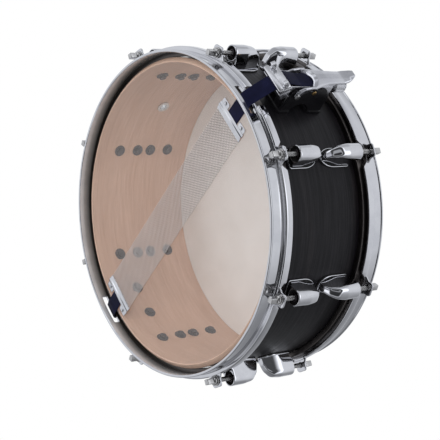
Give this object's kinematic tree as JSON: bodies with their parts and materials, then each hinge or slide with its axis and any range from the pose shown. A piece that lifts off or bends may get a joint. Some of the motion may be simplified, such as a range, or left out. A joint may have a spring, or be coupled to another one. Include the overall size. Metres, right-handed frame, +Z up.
{
  "type": "snare drum",
  "caption": "Wooden-shell snare drum with chrome hoops, lugs and tension rods, clear snare-side head, coiled snares on straps and a flip-lever throw-off.",
  "frame": {"origin": "on the drum axis, in the plane of the bottom (snare-side) rim on which the drum rests", "axes": "+Z up along the drum axis through the batter head; the strainer stands at -45 degrees from +X (between +X and -Y), the butt end opposite it"},
  "size_m": [0.38, 0.38, 0.1616],
  "materials": {
    "black_stained_ply": "satin black stained ash outside, pale maple inside",
    "coated_film": "white coated drum film",
    "clear_film": "thin clear drum film",
    "hoop_aluminium": "satin extruded ring",
    "hoop_chrome": "polished chrome plate",
    "lug_chrome": "polished chrome plated casting",
    "plated_steel": "nickel plated steel",
    "cast_chrome": "chrome plated casting, slightly soft reflections",
    "snare_steel": "bright coiled steel wire",
    "plate_chrome": "polished end plates",
    "gasket_rubber": "black gasket",
    "brass": "machined brass",
    "dark_washer": "dark grey plated washers",
    "black_base": "gloss black enamel",
    "yoke_metal": "brushed plated slide",
    "knob_metal": "knurled grey knob",
    "strap_fabric": "dark navy woven ribbon"
  },
  "bodies": {
    "root": {"shell": "black_stained_ply", "vent_grommet": "cast_chrome", "batter_head": "coated_film", "batter_flesh_hoop": "hoop_aluminium", "batter_hoop": "hoop_chrome", "snare_head": "clear_film", "snare_flesh_hoop": "hoop_aluminium", "snare_hoop": "hoop_chrome", "batter_lug_1": "lug_chrome", "batter_lug_2": "lug_chrome", "batter_lug_3": "lug_chrome", "batter_lug_4": "lug_chrome", "batter_lug_5": "lug_chrome", "batter_lug_6": "lug_chrome", "batter_lug_7": "lug_chrome", "batter_lug_8": "lug_chrome", "snare_lug_1": "lug_chrome", "snare_lug_2": "lug_chrome", "snare_lug_3": "lug_chrome", "snare_lug_4": "lug_chrome", "snare_lug_5": "lug_chrome", "snare_lug_6": "lug_chrome", "snare_lug_7": "lug_chrome", "snare_lug_8": "lug_chrome", "lug_gaskets": "gasket_rubber", "brass_inserts": "brass", "mounting_screws": "plated_steel", "screw_washers": "dark_washer", "rod_washers": "plated_steel", "throw_off_base": "black_base", "lever_pins": "plated_steel", "butt_body": "cast_chrome", "butt_plate": "cast_chrome", "butt_clamp_screws": "plated_steel", "butt_strap": "strap_fabric"},
    "lever": {"throw_off_lever": "cast_chrome"},
    "yoke": {"lift_yoke": "yoke_metal"},
    "knob": {"tension_knob": "knob_metal"},
    "clamp": {"strap_clamp": "cast_chrome", "clamp_plate": "cast_chrome", "clamp_screws": "plated_steel", "strainer_strap": "strap_fabric"},
    "snares": {"snare_wires": "snare_steel", "snare_end_plates": "plate_chrome"},
    "batter_rod_1": {"batter_rod_1": "plated_steel"},
    "batter_rod_2": {"batter_rod_2": "plated_steel"},
    "batter_rod_3": {"batter_rod_3": "plated_steel"},
    "batter_rod_4": {"batter_rod_4": "plated_steel"},
    "batter_rod_5": {"batter_rod_5": "plated_steel"},
    "batter_rod_6": {"batter_rod_6": "plated_steel"},
    "batter_rod_7": {"batter_rod_7": "plated_steel"},
    "batter_rod_8": {"batter_rod_8": "plated_steel"},
    "snare_rod_1": {"snare_rod_1": "plated_steel"},
    "snare_rod_2": {"snare_rod_2": "plated_steel"},
    "snare_rod_3": {"snare_rod_3": "plated_steel"},
    "snare_rod_4": {"snare_rod_4": "plated_steel"},
    "snare_rod_5": {"snare_rod_5": "plated_steel"},
    "snare_rod_6": {"snare_rod_6": "plated_steel"},
    "snare_rod_7": {"snare_rod_7": "plated_steel"},
    "snare_rod_8": {"snare_rod_8": "plated_steel"}
  },
  "joints": [
    {"name": "lever_throw", "type": "hinge", "parent": "root", "child": "lever", "pos_m": [0.1439, -0.1439, 0.0603], "axis": [0.7071, 0.7071, 0], "range_deg": [0, 70]},
    {"name": "yoke_lift", "type": "slide", "parent": "root", "child": "yoke", "axis": [0, 0, -1], "range_m": [0, 0.00805], "deforming": ["strainer_strap"]},
    {"name": "snare_drop", "type": "slide", "parent": "root", "child": "snares", "axis": [0, 0, -1], "range_m": [0, 0.00155], "deforming": ["butt_strap"]},
    {"name": "knob_turn", "type": "hinge", "parent": "yoke", "child": "knob", "pos_m": [0.14672, -0.14672, 0.1258], "axis": [0, 0, 1], "range_deg": [-720, 720]},
    {"name": "clamp_adjust", "type": "slide", "parent": "yoke", "child": "clamp", "axis": [0, 0, 1], "range_m": [-0.00205, 0.00205]},
    {"name": "batter_rod_turn_1", "type": "hinge", "parent": "root", "child": "batter_rod_1", "pos_m": [0.18025, 0.07466, 0.1533], "axis": [0, 0, 1], "continuous": true},
    {"name": "batter_rod_turn_2", "type": "hinge", "parent": "root", "child": "batter_rod_2", "pos_m": [0.07466, 0.18025, 0.1533], "axis": [0, 0, 1], "continuous": true},
    {"name": "batter_rod_turn_3", "type": "hinge", "parent": "root", "child": "batter_rod_3", "pos_m": [-0.07466, 0.18025, 0.1533], "axis": [0, 0, 1], "continuous": true},
    {"name": "batter_rod_turn_4", "type": "hinge", "parent": "root", "child": "batter_rod_4", "pos_m": [-0.18025, 0.07466, 0.1533], "axis": [0, 0, 1], "continuous": true},
    {"name": "batter_rod_turn_5", "type": "hinge", "parent": "root", "child": "batter_rod_5", "pos_m": [-0.18025, -0.07466, 0.1533], "axis": [0, 0, 1], "continuous": true},
    {"name": "batter_rod_turn_6", "type": "hinge", "parent": "root", "child": "batter_rod_6", "pos_m": [-0.07466, -0.18025, 0.1533], "axis": [0, 0, 1], "continuous": true},
    {"name": "batter_rod_turn_7", "type": "hinge", "parent": "root", "child": "batter_rod_7", "pos_m": [0.07466, -0.18025, 0.1533], "axis": [0, 0, 1], "continuous": true},
    {"name": "batter_rod_turn_8", "type": "hinge", "parent": "root", "child": "batter_rod_8", "pos_m": [0.18025, -0.07466, 0.1533], "axis": [0, 0, 1], "continuous": true},
    {"name": "snare_rod_turn_1", "type": "hinge", "parent": "root", "child": "snare_rod_1", "pos_m": [0.18025, 0.07466, 0.0083], "axis": [0, 0, -1], "continuous": true},
    {"name": "snare_rod_turn_2", "type": "hinge", "parent": "root", "child": "snare_rod_2", "pos_m": [0.07466, 0.18025, 0.0083], "axis": [0, 0, -1], "continuous": true},
    {"name": "snare_rod_turn_3", "type": "hinge", "parent": "root", "child": "snare_rod_3", "pos_m": [-0.07466, 0.18025, 0.0083], "axis": [0, 0, -1], "continuous": true},
    {"name": "snare_rod_turn_4", "type": "hinge", "parent": "root", "child": "snare_rod_4", "pos_m": [-0.18025, 0.07466, 0.0083], "axis": [0, 0, -1], "continuous": true},
    {"name": "snare_rod_turn_5", "type": "hinge", "parent": "root", "child": "snare_rod_5", "pos_m": [-0.18025, -0.07466, 0.0083], "axis": [0, 0, -1], "continuous": true},
    {"name": "snare_rod_turn_6", "type": "hinge", "parent": "root", "child": "snare_rod_6", "pos_m": [-0.07466, -0.18025, 0.0083], "axis": [0, 0, -1], "continuous": true},
    {"name": "snare_rod_turn_7", "type": "hinge", "parent": "root", "child": "snare_rod_7", "pos_m": [0.07466, -0.18025, 0.0083], "axis": [0, 0, -1], "continuous": true},
    {"name": "snare_rod_turn_8", "type": "hinge", "parent": "root", "child": "snare_rod_8", "pos_m": [0.18025, -0.07466, 0.0083], "axis": [0, 0, -1], "continuous": true}
  ],
  "couplings": [
    {"joint": "yoke_lift", "follows": "lever_throw", "m_per_rad": 0.0065481},
    {"joint": "snare_drop", "follows": "lever_throw", "m_per_rad": 0.0012278},
    {"joint": "clamp_adjust", "follows": "knob_turn", "m_per_rad": 0.00015915}
  ]
}
